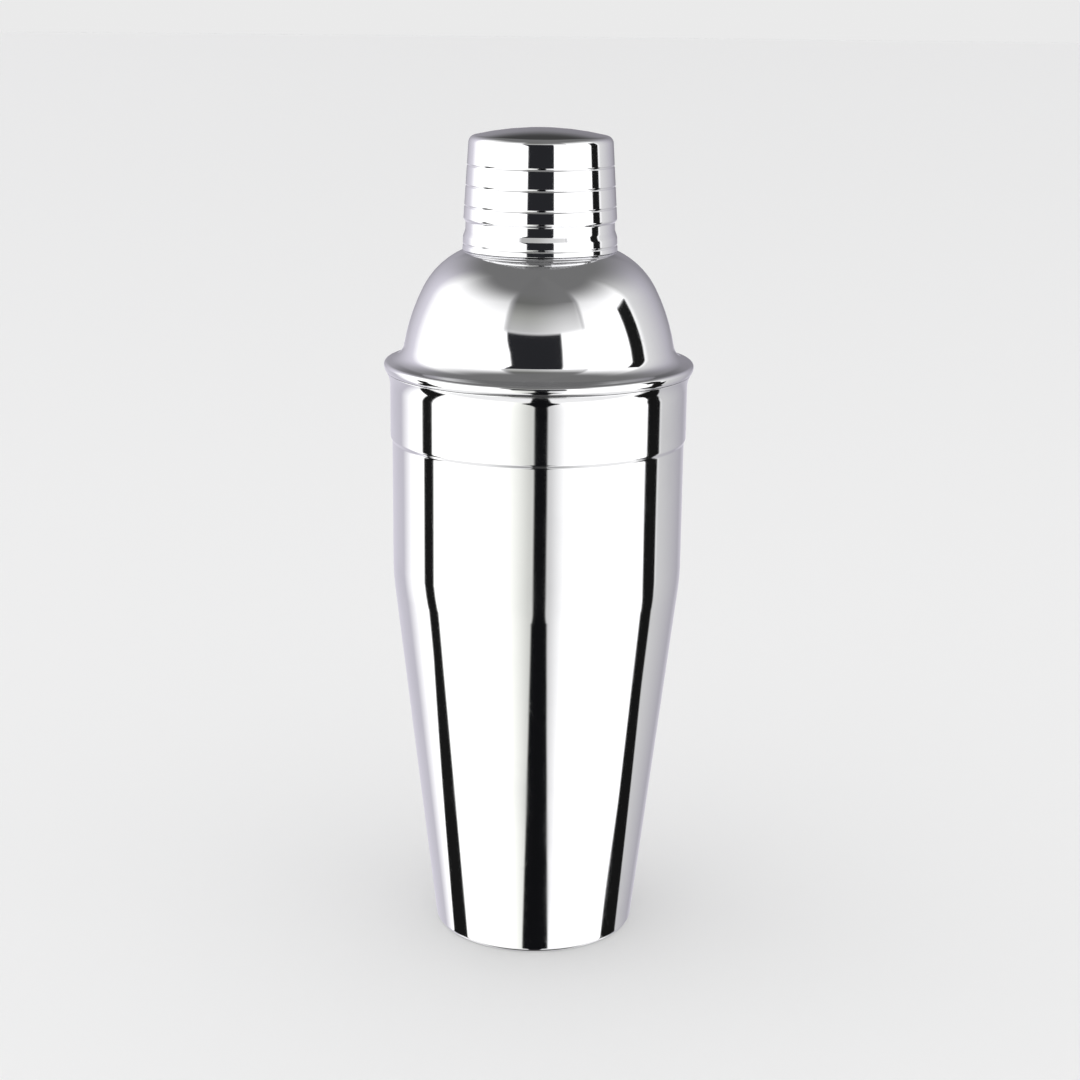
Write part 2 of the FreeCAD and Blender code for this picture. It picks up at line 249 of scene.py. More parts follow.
def offset_corners(corners, wall, side):
    """Corners of the sheet's other face.

    Each corner moves along the sum of its two runs' normals, wall / (1 + cos turn) of it, and its bend
    gains or loses the wall.
    """
    points = np.array([corner[:2] for corner in corners])
    runs = np.diff(points, axis=0)
    runs /= np.linalg.norm(runs, axis=1)[:, None]
    before = np.vstack([runs[:1], runs])
    after = np.vstack([runs, runs[-1:]])
    normals = side * np.stack([-before[:, 1] - after[:, 1], before[:, 0] + after[:, 0]], axis=1)
    dots = (before * after).sum(axis=1)
    crosses = before[:, 0] * after[:, 1] - before[:, 1] * after[:, 0]
    moved = points + normals * (wall / (1 + dots))[:, None]
    bends = np.array([corner[2] for corner in corners])
    bends = np.where(bends > 0, bends - wall * np.sign(crosses * side), 0)
    return [(r, z, bend) for (r, z), bend in zip(moved, bends)]


def spaced(start, end, step, clear):
    """Points of a straight run, with one close to each end so that shading stays true."""
    gap = np.linalg.norm(end - start)
    if gap < WELD:
        return np.empty((0, 2))
    inner = np.linspace(0, 1, max(2, int(math.ceil(gap / step)) + 1))[1:-1]
    near = min(0.25, clear / gap)
    shares = np.unique(np.concatenate([[near], inner[(inner > near) & (inner < 1 - near)], [1 - near]]))
    return start + shares[:, None] * (end - start)


def traced(corners, sizes, closed=False):
    """Points along the corners: straight runs, and at each corner an arc of its bend radius."""
    points = [np.array(corner[:2]) for corner in corners]
    count = len(points)
    picked = range(count) if closed else range(1, count - 1)
    pieces = []
    here = None if closed else points[0]
    first = None
    if not closed:
        pieces.append(here[None, :])
    for i in picked:
        before = unit(points[i] - points[i - 1])
        after = unit(points[(i + 1) % count] - points[i])
        turn = turn_between(before, after)
        bend_r = corners[i][2]
        back = tangent_length(bend_r, turn)
        start = points[i] - back * before
        side = math.copysign(1, turn)
        centre = start + side * bend_r * np.array([-before[1], before[0]])
        steps = max(2, int(math.ceil(abs(turn) / sizes.arc_step)))
        angles = turn * np.linspace(0, 1, steps + 1)
        spoke = start - centre
        arc = centre + np.stack(
            [
                spoke[0] * np.cos(angles) - spoke[1] * np.sin(angles),
                spoke[0] * np.sin(angles) + spoke[1] * np.cos(angles),
            ],
            axis=1,
        )
        if here is not None:
            pieces.append(spaced(here, start, sizes.run_step, 2 * sizes.edge))
        else:
            first = start
        pieces.append(arc)
        here = arc[-1]
    end = first if closed else points[-1]
    pieces.append(spaced(here, end, sizes.run_step, 2 * sizes.edge))
    if not closed:
        pieces.append(points[-1][None, :])
    path = np.vstack(pieces)
    keep = np.concatenate([[True], np.linalg.norm(np.diff(path, axis=0), axis=1) > WELD])
    return path[keep]


def level_ends(outer, inner, height):
    """Both faces' last corners moved along their last runs to one height."""
    ends = []
    for corners in (outer, inner):
        a, b = np.array(corners[-2][:2]), np.array(corners[-1][:2])
        a_to_b = unit(b - a)
        ends.append(a + a_to_b * (height - a[1]) / a_to_b[1])
    return outer[:-1] + [(*ends[0], 0)], inner[:-1] + [(*ends[1], 0)]


def sheet_section(corners, wall, side, edge, level=None):
    """Corners round the whole sheet: the given face, the rounded edge, and the other face back."""
    inner = offset_corners(corners, wall, side)
    if level is not None:
        corners, inner = level_ends(corners, inner, level)
    near = [(*corners[-1][:2], edge)]
    far = [(*inner[-1][:2], edge)]
    return corners[:-1] + near + far + inner[:-1][::-1]


def crown_corners(middle_z, edge_r, slope, bend_r, edge_turn):
    """Crown from the axis to its edge: one arc, level in the middle, that ends where the bend starts.

    With t the bend's tangent length, the arc's own is (edge radius - t cos slope) / (1 + cos slope).
    """
    back = tangent_length(bend_r, edge_turn)
    arc_back = (edge_r - back * math.cos(slope)) / (1 + math.cos(slope))
    edge_z = middle_z - (arc_back + back) * math.sin(slope)
    crown_r = arc_back / math.tan(abs(slope) / 2)
    return [(0.0, middle_z, 0.0), (arc_back, middle_z, crown_r), (edge_r, edge_z, bend_r)]


def two_bends(start, start_way, end, end_way):
    """Two corners with equal tangent lengths b, where the runs between start and end close.

    b solves b^2 2(1 - u.v) + 2 b g.(u + v) - g.g = 0, for ways u and v and gap g.
    """
    gap = end - start
    a = 2 * (1 - np.dot(start_way, end_way))
    b = 2 * np.dot(gap, start_way + end_way)
    back = (-b + math.sqrt(b * b + 4 * a * np.dot(gap, gap))) / (2 * a)
    first = start + back * start_way
    second = end - back * end_way
    middle_way = unit(second - first)
    first_r = back / math.tan(abs(turn_between(start_way, middle_way)) / 2)
    second_r = back / math.tan(abs(turn_between(middle_way, end_way)) / 2)
    return [(*first, first_r), (*second, second_r)]


# ---------------------------------------------------------------------------------------------
# Meshes


def distances(path):
    return np.concatenate([[0], np.cumsum(np.linalg.norm(np.diff(path, axis=0), axis=1))])


def turned_grid(path, around, closed):
    """Surface of revolution: point j of the path turned by 2 pi i / around, so
    x = r cos, y = r sin, z = z. A path point on the axis is one vertex."""
    angles = 2 * np.pi * np.arange(around) / around
    on_axis = path[:, 0] < WELD
    sizes = np.where(on_axis, 1, around)
    starts = np.concatenate([[0], np.cumsum(sizes)[:-1]])
    rings = np.stack(
        [
            path[:, :1] * np.cos(angles),
            path[:, :1] * np.sin(angles),
            np.repeat(path[:, 1:], around, axis=1),
        ],
        axis=2,
    )
    keep = np.ones(rings.shape[:2], bool)
    keep[on_axis, 1:] = False
    vertices = rings[keep]
    along = np.repeat(distances(path), sizes)
    lower = np.arange(len(path) if closed else len(path) - 1)
    upper = (lower + 1) % len(path)
    i = np.arange(around)
    here = starts[lower][:, None] + np.where(on_axis[lower][:, None], 0, i)
    here_next = starts[lower][:, None] + np.where(on_axis[lower][:, None], 0, (i + 1) % around)
    above = starts[upper][:, None] + np.where(on_axis[upper][:, None], 0, i)
    above_next = starts[upper][:, None] + np.where(on_axis[upper][:, None], 0, (i + 1) % around)
    quads = np.stack([here, here_next, above_next, above], axis=2)
    fans = on_axis[lower] | on_axis[upper]
    return vertices, along, quads, fans


def face_list(quads, fans):
    """All quads, then the fans as triangles, without the point that each fan has twice."""
    plain = quads[~fans].reshape(-1, 4).tolist()
    doubled = quads[fans].reshape(-1, 4)
    low_axis = doubled[:, 0] == doubled[:, 1]
    triangles = np.where(low_axis[:, None], doubled[:, [0, 2, 3]], doubled[:, :3]).tolist()
    return plain + triangles


def turned_piece(name, path, around, closed, inside, materials):
    """Object of a turned path; inside says which path steps take the second material."""
    vertices, along, quads, fans = turned_grid(path, around, closed)
    marks = np.repeat(inside[:, None], around, axis=1)
    indices = np.concatenate([marks[~fans].ravel(), marks[fans].ravel()])
    return mesh_piece(name, vertices, face_list(quads, fans), along, indices, materials)


def mesh_piece(name, vertices, faces, along, indices, materials):
    mesh = bpy.data.meshes.new(name)
    mesh.from_pydata(vertices.tolist(), [], faces)
    mesh.update()
    for material in materials:
        mesh.materials.append(material)
    mesh.polygons.foreach_set("material_index", indices.astype(np.int32))
    mesh.polygons.foreach_set("use_smooth", np.ones(len(faces), bool))
    attribute = mesh.attributes.new(ALONG, "FLOAT", "POINT")
    attribute.data.foreach_set("value", along.astype(np.float32))
    mesh.validate()
    mesh.update()
    piece = bpy.data.objects.new(name, mesh)
    bpy.context.scene.collection.objects.link(piece)
    return piece


def nearest(path, corner):
    """Index of the path point nearest a corner."""
    return int(np.argmin(np.linalg.norm(path - np.array(corner[:2]), axis=1)))


def inside_steps(path, tip):
    """True for the steps of an open path after the sheet's edge, which is the point nearest the tip."""
    return np.arange(len(path) - 1) >= nearest(path, tip)


# ---------------------------------------------------------------------------------------------
# Node helpers


class Wire:
    """A number on a socket. Arithmetic on it adds Math nodes."""

    def __init__(self, graph, socket):
        self.graph = graph
        self.socket = socket

    def _math(self, operation, *others):
        return self.graph.math(operation, self, *others)

    def __add__(self, other):
        return self._math("ADD", other)

    __radd__ = __add__

    def __mul__(self, other):
        return self._math("MULTIPLY", other)

    __rmul__ = __mul__

    def __sub__(self, other):
        return self._math("SUBTRACT", other)

    def __rsub__(self, other):
        return self.graph.math("SUBTRACT", other, self)

    def __truediv__(self, other):
        return self._math("DIVIDE", other)

    def __abs__(self):
        return self._math("ABSOLUTE")

    def least(self, other):
        return self._math("MINIMUM", other)

    def most(self, other):
        return self._math("MAXIMUM", other)

    def rise(self, low, high):
        """0 below low, 1 above high, smooth between."""
        settings = {"interpolation_type": "SMOOTHSTEP", "clamp": True}
        inputs = {"Value": self, "From Min": low, "From Max": high}
        return self.graph.node("ShaderNodeMapRange", settings, inputs).out(0)

    def within(self, low, high, soft):
        """1 between low and high, with smooth edges."""
        return self.rise(low - soft, low + soft) * (1 - self.rise(high - soft, high + soft))


class Node:
    def __init__(self, graph, node):
        self.graph = graph
        self.node = node

    def out(self, key):
        return Wire(self.graph, self.node.outputs[key])


class Graph:
    """A node tree with one method that adds any node."""

    def __init__(self, tree):
        self.tree = tree
        tree.nodes.clear()

    def node(self, kind, settings=None, inputs=None):
        node = self.tree.nodes.new(kind)
        for key, value in (settings or {}).items():
            setattr(node, key, value)
        for key, value in (inputs or {}).items():
            if isinstance(value, Wire):
                self.tree.links.new(value.socket, node.inputs[key])
            else:
                node.inputs[key].default_value = value
        return Node(self, node)

    def math(self, operation, *values):
        return self.node("ShaderNodeMath", {"operation": operation}, dict(enumerate(values))).out(0)

    def mix(self, share, low, high):
        """Colour between low and high."""
        settings = {"data_type": "RGBA", "clamp_factor": True}
        return self.node("ShaderNodeMix", settings, {0: share, 6: low, 7: high}).out(2)

    def vector(self, x, y, z):
        return self.node("ShaderNodeCombineXYZ", None, {0: x, 1: y, 2: z}).out(0)

    def ramp(self, position, stops):
        """Colour ramp with (position, colour) stops."""
        node = self.node("ShaderNodeValToRGB", None, {"Fac": position})
        elements = node.node.color_ramp.elements
        elements[0].position, elements[0].color = stops[0][0], stops[0][1]
        elements[1].position, elements[1].color = stops[-1][0], stops[-1][1]
        for place, value in stops[1:-1]:
            elements.new(place).color = value
        return node.out(0)

    def noise(self, vector, scale, detail=2.0, roughness=0.5):
        inputs = {"Vector": vector, "Scale": scale, "Detail": detail, "Roughness": roughness}
        return self.node("ShaderNodeTexNoise", None, inputs).out(0)

    def bump(self, height, distance, **more):
        return self.node("ShaderNodeBump", None, {"Height": height, "Distance": distance, **more}).out(0)

    def scaled(self, vector, factors):
        settings = {"operation": "MULTIPLY"}
        return self.node("ShaderNodeVectorMath", settings, {0: vector, 1: factors}).out(0)


def rgba(value):
    return (*tuple(value)[:3], 1.0)


def turned_coordinates(graph, along_scale, around_scale):
    """Coordinates that follow the turning: the direction from the axis, and distance along the sheet."""
    place = graph.node("ShaderNodeTexCoord").out("Object")
    flat = graph.scaled(place, (1, 1, 0))
    spoke = graph.node("ShaderNodeVectorMath", {"operation": "NORMALIZE"}, {0: flat}).out(0)
    split = graph.node("ShaderNodeSeparateXYZ", None, {0: spoke})
    along = graph.node("ShaderNodeAttribute", {"attribute_name": ALONG}).out("Fac")
    vector = graph.vector(split.out(0) * around_scale, split.out(1) * around_scale, along * along_scale)
    return place, vector


def steel_material(name, build):
    """Metal whose inputs are those that build adds to the graph."""
    material = bpy.data.materials.new(name)
    material.use_nodes = True
    graph = Graph(material.node_tree)
    shader = graph.node("ShaderNodeBsdfPrincipled", None, {"Metallic": 1.0, **build(graph)})
    graph.node("ShaderNodeOutputMaterial", None, {"Surface": shader.out(0)})
    return material


def mirror_steel(finish):
    """Mirror polish: faint lines from the polishing wheel, a few hairlines, soft marks of handling and
    the slight waviness of drawn sheet."""

    def build(graph):
        place, turned = turned_coordinates(graph, 2600.0, 2.5)
        lines = graph.noise(turned, 1.0, 3.0, 0.6)
        handling = graph.noise(place, 38.0, 3.0, 0.55).rise(0.48, 0.72)
        wander = graph.noise(graph.scaled(place, (1, 1, 0.35)), 95.0, 1.5, 0.4)
        patches = graph.noise(place, 55.0, 1.0).rise(0.5, 0.62)
        hairline = (1 - abs(wander - 0.5).rise(0.0004, 0.0022)) * patches
        worn = handling * 0.6 + hairline * 0.4
        tint = graph.mix(worn, rgba(finish.polished), rgba(finish.polished_dull))
        roughness = 0.035 + lines * 0.035 + handling * 0.03 + hairline * 0.06
        waviness = graph.bump(graph.noise(place, 24.0, 1.0), 0.00006)
        normal = graph.bump(lines - hairline * 0.3, 0.0000007, Normal=waviness)
        return {"Base Color": tint, "Roughness": roughness, "Normal": normal}

    return steel_material("mirror_steel", build)


def spun_steel(finish):
    """Spun inside: fine rings left by the tool, some deeper than others, and dull patches. The grooves'
    shade is painted into the colour, which darkens where the rings' bump is low.
    """

    def build(graph):
        place, turned = turned_coordinates(graph, 3200.0, 1.5)
        fine = graph.noise(turned, 1.0, 4.0, 0.65)
        wide = graph.noise(turned_coordinates(graph, 520.0, 1.0)[1], 1.0, 2.0)
        dull = graph.noise(place, 30.0, 2.0).rise(0.4, 0.7)
        # Painted shade: the colour darkens to the satin shadow colour where the rings' bump is low, in
        # the grooves
        tint = graph.mix(fine * 0.7 + wide * 0.3, rgba(finish.satin_groove_shade), rgba(finish.satin))
        normal = graph.bump(fine + wide * 0.8, 0.000004)
        return {"Base Color": tint, "Roughness": 0.2 + fine * 0.16 + dull * 0.08, "Normal": normal}

    return steel_material("spun_steel", build)


def material(name):
    """The finish of this name, made when it is first asked for."""
    made = bpy.data.materials.get(name)
    if made:
        return made
    finish = bpy.context.scene.shaker_finish
    makers = {"mirror_steel": mirror_steel, "spun_steel": spun_steel}
    return makers[name](finish)


# ---------------------------------------------------------------------------------------------
# Outlines of the pieces


def cup_corners(cup, height):
    """Outer face of the cup, from the middle of its base to the lip."""
    foot_r = cup.base_r - cup.foot_ring
    step_z = height - cup.collar_h
    collar_r = cup.wall_r + cup.step
    lip_z = height - cup.lip_h + tangent_length(cup.lip_bend, cup.lip_lean)
    lip_top = np.array([collar_r, lip_z]) + down(math.pi - cup.lip_lean) * cup.lip_h
    return [
        (0.0, cup.dish_rise, 0.0),
        (foot_r - cup.dish_run, cup.dish_rise, cup.dish_bend),
        (foot_r, 0.0, cup.dish_bend),
        (cup.base_r, 0.0, cup.base_corner),
        (cup.wall_r, step_z - cup.step_h - cup.wall_h, cup.wall_bend),
        (cup.wall_r, step_z - cup.step_h, cup.step_bend),
        (collar_r, step_z, cup.step_bend),
        (collar_r, lip_z, cup.lip_bend),
        (*lip_top, 0.0),
    ]


def neck_radius(top, cap, foot_z, z):
    """Outer radius of the neck, which narrows upwards with the cap's draft."""
    return top.neck_r - (z - foot_z) * math.tan(cap.lean)


def top_corners(top, cap, cup, sheet, lip_z, flange_r, low_z, high_z):
    """Outer face of the strainer top, from the neck's rim to the skirt's lower edge."""
    under_z = lip_z + top.lip_gap
    foot_z = under_z + top.dome_h
    neck_foot = np.array([top.neck_r, foot_z])
    neck_way = down(top.shoulder_lean)
    side_way = down(top.dome_lean)
    fillet_back = tangent_length(top.neck_fillet, top.shoulder_lean - cap.lean)
    dome_r = flange_r - top.dome_inset
    dome_z = under_z + top.flange_h + top.dome_inset * math.tan(top.flange_slope)
    dome_foot = np.array([dome_r, dome_z])
    dome_turn = math.pi / 2 - top.flange_slope - top.dome_lean
    dome_end = dome_foot - side_way * tangent_length(top.dome_fillet, dome_turn)
    rim_r = neck_radius(top, cap, foot_z, high_z)
    collar_r = cup.wall_r + cup.step
    skirt_r = collar_r - sheet.wall - top.skirt_gap
    under_tan = math.tan(top.under_lean)
    fold_r = collar_r + cup.lip_bend * (1 - math.cos(top.under_lean)) + top.lip_gap * under_tan
    return [
        (rim_r - top.neck_rim, high_z, 0.0),
        (rim_r, high_z, top.neck_rim_bend),
        (*neck_foot, top.neck_fillet),
        *two_bends(neck_foot + neck_way * fillet_back, neck_way, dome_end, side_way),
        (*dome_foot, top.dome_fillet),
        (flange_r, under_z + top.flange_h, top.nose),
        (flange_r, under_z + (flange_r - fold_r) / under_tan, top.under),
        (fold_r, under_z, top.fold),
        (skirt_r, under_z, top.skirt_bend),
        (skirt_r, low_z + top.skirt_lead_h, top.skirt_lead_bend),
        (skirt_r - top.skirt_lead_in, low_z, 0.0),
    ]


def cap_corners(cap, top, sheet, rim_z, top_z):
    """Outer face of the cap, from the middle of the crown to the rim."""
    step_z = rim_z + cap.step_z
    grip_z = rim_z + cap.grip_z
    grip_r = top.neck_r + cap.grip_gap + sheet.wall
    side_r = grip_r + cap.side_out
    crown_drop = crown_corners(0.0, side_r, cap.crown_slope, 0.0, 0.0)[-1][1]
    top_r = side_r - (top_z + crown_drop - step_z) * math.tan(cap.lean)
    edge_turn = math.pi / 2 - cap.crown_slope - cap.lean
    return crown_corners(top_z, top_r, cap.crown_slope, cap.corner, edge_turn) + [
        (side_r, step_z, cap.step_bend),
        (grip_r - cap.band_in, step_z - cap.step_h, cap.step_foot_bend),
        (grip_r, grip_z, cap.grip_bend),
        (grip_r + cap.bead_out, grip_z - cap.flare_h, cap.bead_bend),
        (grip_r + cap.rim_out, rim_z, 0.0),
    ]


def with_lines(path, outer_count, cap, rim_z, top_z):
    """The cap's path with fine lines pressed in.

    Points are added across each line, and those within half a width h of its middle move inwards by
    depth times (1 + cos(pi distance / h)) / 2.
    """
    middles = top_z - cap.line_drop - cap.line_pitch * np.arange(cap.lines)
    middles = np.append(middles, rim_z + cap.rim_line)
    outer = path[:outer_count]
    rising = np.argsort(outer[:, 1])
    across_z = (middles[:, None] + np.linspace(-1.15, 1.15, LINE_POINTS) * cap.line_half).ravel()
    across_r = np.interp(across_z, outer[rising, 1], outer[rising, 0])
    away = np.abs(outer[:, 1:] - middles).min(axis=1)
    merged = np.vstack([outer[away > 1.2 * cap.line_half], np.stack([across_r, across_z], axis=1)])
    merged = merged[np.argsort(-merged[:, 1], kind="stable")]
    away = np.abs(merged[:, 1:] - middles).min(axis=1) / cap.line_half
    merged[:, 0] -= cap.line_depth * np.where(away < 1, (1 + np.cos(np.pi * away)) / 2, 0)
    return np.vstack([merged, path[outer_count:]])


def plate_corners(plate, top, cap, sheet, foot_z):
    """Lower face of the plate without its holes, from its middle to the top of its rim."""
    bend_z = plate_high.z - plate.rim_h
    wall = sheet.wall / math.cos(cap.lean)
    edge_r = neck_radius(top, cap, foot_z, bend_z) - wall
    rim_r = neck_radius(top, cap, foot_z, plate_high.z) - wall
    edge_turn = math.pi / 2 - plate.slope + cap.lean
    crown = crown_corners(0.0, edge_r, -plate.slope, plate.bend, edge_turn)
    lift = bend_z - crown[-1][1]
    return [(r, z + lift, bend) for r, z, bend in crown] + [(rim_r, plate_high.z, 0.0)]


def dish_height(corners, lift, radius):
    """Height of a face of the dish: with R its bend radius, middle + R - sqrt((R - lift)^2 - r^2)."""
    bend_r = corners[1][2]
    return corners[0][1] + bend_r - np.sqrt((bend_r - lift) ** 2 - radius ** 2)


def cell_outline(ring, pitch, around):
    """Outline of the plate's cell round one hole, as radii and angles about the axis: an arc half a pitch
    outside the ring of holes, a radial side, an arc half a pitch inside the ring and the other side."""
    if ring == 0:
        return np.full(around, pitch / 2), 2 * np.pi * np.arange(around) / around
    cells = 6 * ring
    half = math.pi / cells
    arc = np.linspace(-half, half, around // cells + 1)
    outer_r, inner_r = (ring + 0.5) * pitch, (ring - 0.5) * pitch
    side = np.linspace(outer_r, inner_r, 9)
    radii = [np.full(len(arc) - 1, outer_r), side[:-1], np.full(len(arc) - 1, inner_r), side[:0:-1]]
    angles = [arc[:-1], np.full(8, half), arc[:0:-1], np.full(8, -half)]
    return np.concatenate(radii), np.concatenate(angles)


def ring_of_cells(ring, plate, corners, wall, around):
    """Cells of one ring of holes. Each outline point is joined to the hole's circle along a straight
    line, over the hole's rounded edge, down its wall and back along the lower face."""
    cells = max(1, 6 * ring)
    radii, angles = cell_outline(ring, plate.hole_pitch, around)
    places = 2 * np.pi * np.arange(cells)[:, None] / cells
    outline = radii[:, None] * np.stack([np.cos(places + angles), np.sin(places + angles)], axis=-1)
    middles = ring * plate.hole_pitch * np.stack([np.cos(places), np.sin(places)], axis=-1)
    ways = outline - middles
    far = np.linalg.norm(ways, axis=2, keepdims=True)
    ways /= far
    round_angles = np.linspace(0, np.pi / 2, 4)
    reach = plate.hole_r + plate.hole_edge * (1 - np.sin(round_angles))
    reach = np.concatenate([[plate.hole_r + 2 * plate.hole_edge], reach])
    drop = np.concatenate([[0, 0], plate.hole_edge * (1 - np.cos(round_angles))])
    reach = np.concatenate([far, np.broadcast_to(reach, far.shape[:2] + reach.shape)], axis=2)
    flat = middles[:, :, None] + ways[:, :, None] * reach[..., None]
    flat[:, :, 0] = outline
    radius = np.linalg.norm(flat, axis=3)
    upper = dish_height(corners, wall, radius) - drop
    lower = dish_height(corners, 0.0, radius) + drop
    flat = np.concatenate([flat, flat[:, :, ::-1]], axis=2)
    height = np.concatenate([upper, lower[:, :, ::-1]], axis=2)
    points = np.concatenate([flat, height[..., None]], axis=3)
    index = np.arange(points[..., 0].size).reshape(points.shape[:3])
    turned = np.roll(index, -1, axis=1)
    quads = np.stack([index[..., :-1], turned[..., :-1], turned[..., 1:], index[..., 1:]], axis=3)
    return points.reshape(-1, 3), quads.reshape(-1, 4)


def welded(parts):
    """Vertices and faces of several parts in one, with points that coincide made one."""
    vertices = np.vstack([points for points, faces in parts])
    starts = np.cumsum([0] + [len(points) for points, faces in parts[:-1]])
    faces = np.vstack([faces + start for start, (points, faces) in zip(starts, parts)])
    keys = np.round(vertices / WELD).astype(np.int64)
    picked, place = np.unique(keys, axis=0, return_index=True, return_inverse=True)[1:]
    return vertices[picked], place.ravel()[faces]


# ---------------------------------------------------------------------------------------------
# Operators


class SHAKER_OT_cup(Operator):
    """Make the cup with its foot ring, collar and flared lip"""

    bl_idname = "shaker.cup"
    bl_label = "Cup"

    def execute(self, context):
        scene = context.scene
        sheet = scene.shaker_sheet
        corners = cup_corners(scene.shaker_cup, cup_high.z)
        section = sheet_section(corners, sheet.wall, LEFT, sheet.edge, level=cup_high.z)
        path = traced(section, sheet)
        inside = inside_steps(path, section[len(corners)])
        finishes = [material("mirror_steel"), material("spun_steel")]
        piece = turned_piece("cup_shell", path, sheet.around, False, inside, finishes)
        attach(piece, "cup")
        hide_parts("cup")
        return {"FINISHED"}


class SHAKER_OT_strainer_top(Operator):
    """Make the strainer top with its neck, dome, folded flange and skirt"""

    bl_idname = "shaker.strainer_top"
    bl_label = "Strainer top"

    def execute(self, context):
        scene = context.scene
        sheet = scene.shaker_sheet
        corners = top_corners(
            scene.shaker_top, scene.shaker_cap, scene.shaker_cup, sheet,
            cup_high.z, top_high.x, top_low.z, top_high.z,
        )
        inner = offset_corners(corners, sheet.wall, RIGHT)
        rounded = [(*corners[0][:2], sheet.edge), *corners[1:-1], (*corners[-1][:2], sheet.edge)]
        back = [(*inner[-1][:2], sheet.edge), *inner[1:-1][::-1], (*inner[0][:2], sheet.edge)]
        path = traced(rounded + back, sheet, closed=True)[::-1]
        first, last = sorted([nearest(path, inner[0]), nearest(path, inner[-1])])
        steps = np.arange(len(path))
        inside = (steps >= first) & (steps < last)
        finishes = [material("mirror_steel"), material("spun_steel")]
        piece = turned_piece("strainer_dome", path, sheet.around, True, inside, finishes)
        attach(piece, "strainer")
        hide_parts("strainer_top")
        return {"FINISHED"}


class SHAKER_OT_strainer_plate(Operator):
    """Make the dished strainer plate with its rings of holes and upturned rim"""

    bl_idname = "shaker.strainer_plate"
    bl_label = "Strainer plate"

    def execute(self, context):
        scene = context.scene
        sheet = scene.shaker_sheet
        plate = scene.shaker_plate
        foot_z = cup_high.z + scene.shaker_top.lip_gap + scene.shaker_top.dome_h
        corners = plate_corners(plate, scene.shaker_top, scene.shaker_cap, sheet, foot_z)
        path = traced(sheet_section(corners, plate.plate_wall, LEFT, sheet.edge), sheet)
        start_r = (plate.rings + 0.5) * plate.hole_pitch
        ends = [(start_r, dish_height(corners, lift, start_r)) for lift in (0.0, plate.plate_wall)]
        path = np.vstack([ends[:1], path[path[:, 0] > start_r + sheet.edge], ends[1:]])
        rim, _, quads, _ = turned_grid(path, plate.around, False)
        parts = [(rim, quads.reshape(-1, 4))]
        for ring in range(plate.rings + 1):
            parts.append(ring_of_cells(ring, plate, corners, plate.plate_wall, plate.around))
        vertices, faces = welded(parts)
        along = np.linalg.norm(vertices[:, :2], axis=1) + vertices[:, 2]
        faces = faces.tolist()
        piece = mesh_piece(
            "strainer_disc", vertices, faces, along, np.zeros(len(faces)), [material("spun_steel")]
        )
        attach(piece, "strainer")
        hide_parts("strainer_plate")
        return {"FINISHED"}


class SHAKER_OT_cap(Operator):
    """Make the cap with its crown, fine lines, grip ring and beaded rim"""

    bl_idname = "shaker.cap"
    bl_label = "Cap"

    def execute(self, context):
        scene = context.scene
        sheet = scene.shaker_sheet
        cap = scene.shaker_cap
        corners = cap_corners(cap, scene.shaker_top, sheet, cap_low.z, cap_high.z)
        section = sheet_section(corners, sheet.wall, RIGHT, sheet.edge)
        path = traced(section, sheet)
        outer_count = nearest(path, section[len(corners) - 1])
        path = with_lines(path, outer_count, cap, cap_low.z, cap_high.z)[::-1]
        inside = ~inside_steps(path, section[len(corners)])
        finishes = [material("mirror_steel"), material("spun_steel")]
        piece = turned_piece("cap_shell", path, sheet.around, False, inside, finishes)
        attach(piece, "cap")
        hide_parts("cap")
        return {"FINISHED"}


class SHAKER_OT_stage(Operator):
    """Make the camera, the floor and the studio light"""

    bl_idname = "shaker.stage"
    bl_label = "Studio"

    def execute(self, context):
        studio = context.scene.shaker_studio
        make_camera(studio)
        make_floor(studio)
        make_studio_light(studio)
        return {"FINISHED"}


# ---------------------------------------------------------------------------------------------
# Stage


def make_camera(studio):
    camera = bpy.data.objects.new("camera", bpy.data.cameras.new("camera"))
    bpy.context.scene.collection.objects.link(camera)
    camera.data.lens = studio.lens
    camera.data.sensor_width = 36.0
    camera.data.clip_start = 0.01
    camera.data.clip_end = 200.0
    camera.location = (
        studio.aim_x,
        -studio.distance * math.cos(studio.pitch),
        studio.aim_z + studio.distance * math.sin(studio.pitch),
    )
    tilt = Matrix.Rotation(math.pi / 2 - studio.pitch, 3, "X")
    camera.rotation_euler = (tilt @ Matrix.Rotation(studio.roll, 3, "Z")).to_euler()
    bpy.context.scene.camera = camera


def make_floor(studio):
    """Large disc: radius times the square of a share from 0 to 1, so that it is finer near the shaker."""
    shares = np.linspace(0, 1, FLOOR_RINGS)[::-1]
    path = np.stack([FLOOR_R * shares ** 2, np.zeros(FLOOR_RINGS)], axis=1)
    vertices, along, quads, fans = turned_grid(path, FLOOR_AROUND, False)
    faces = face_list(quads, fans)
    floor = mesh_piece("floor", vertices, faces, along, np.zeros(len(faces)), [floor_material(studio)])
    floor.visible_glossy = False


def floor_material(studio):
    made = bpy.data.materials.new("floor_paint")
    made.use_nodes = True
    graph = Graph(made.node_tree)
    inputs = {"Base Color": rgba(studio.floor), "Roughness": 0.6, "Specular IOR Level": 0.2}
    shader = graph.node("ShaderNodeBsdfPrincipled", None, inputs)
    graph.node("ShaderNodeOutputMaterial", None, {"Surface": shader.out(0)})
    return made


def grey(level, tint=PLAIN):
    """Light that polished steel shows as this display level from 0 to 255: the display curve undone,
    and divided by the steel's reflectance."""
    linear = (level / 255.0) ** DISPLAY_GAMMA / STEEL_SHARE
    return tuple(linear * share for share in tint) + (1.0,)


def between(wire, low, high):
    """1 between low and high, which may be wires too, with edges two degrees wide."""
    return (wire - low).rise(-1, 1) * (1 - (wire - high).rise(-1, 1))


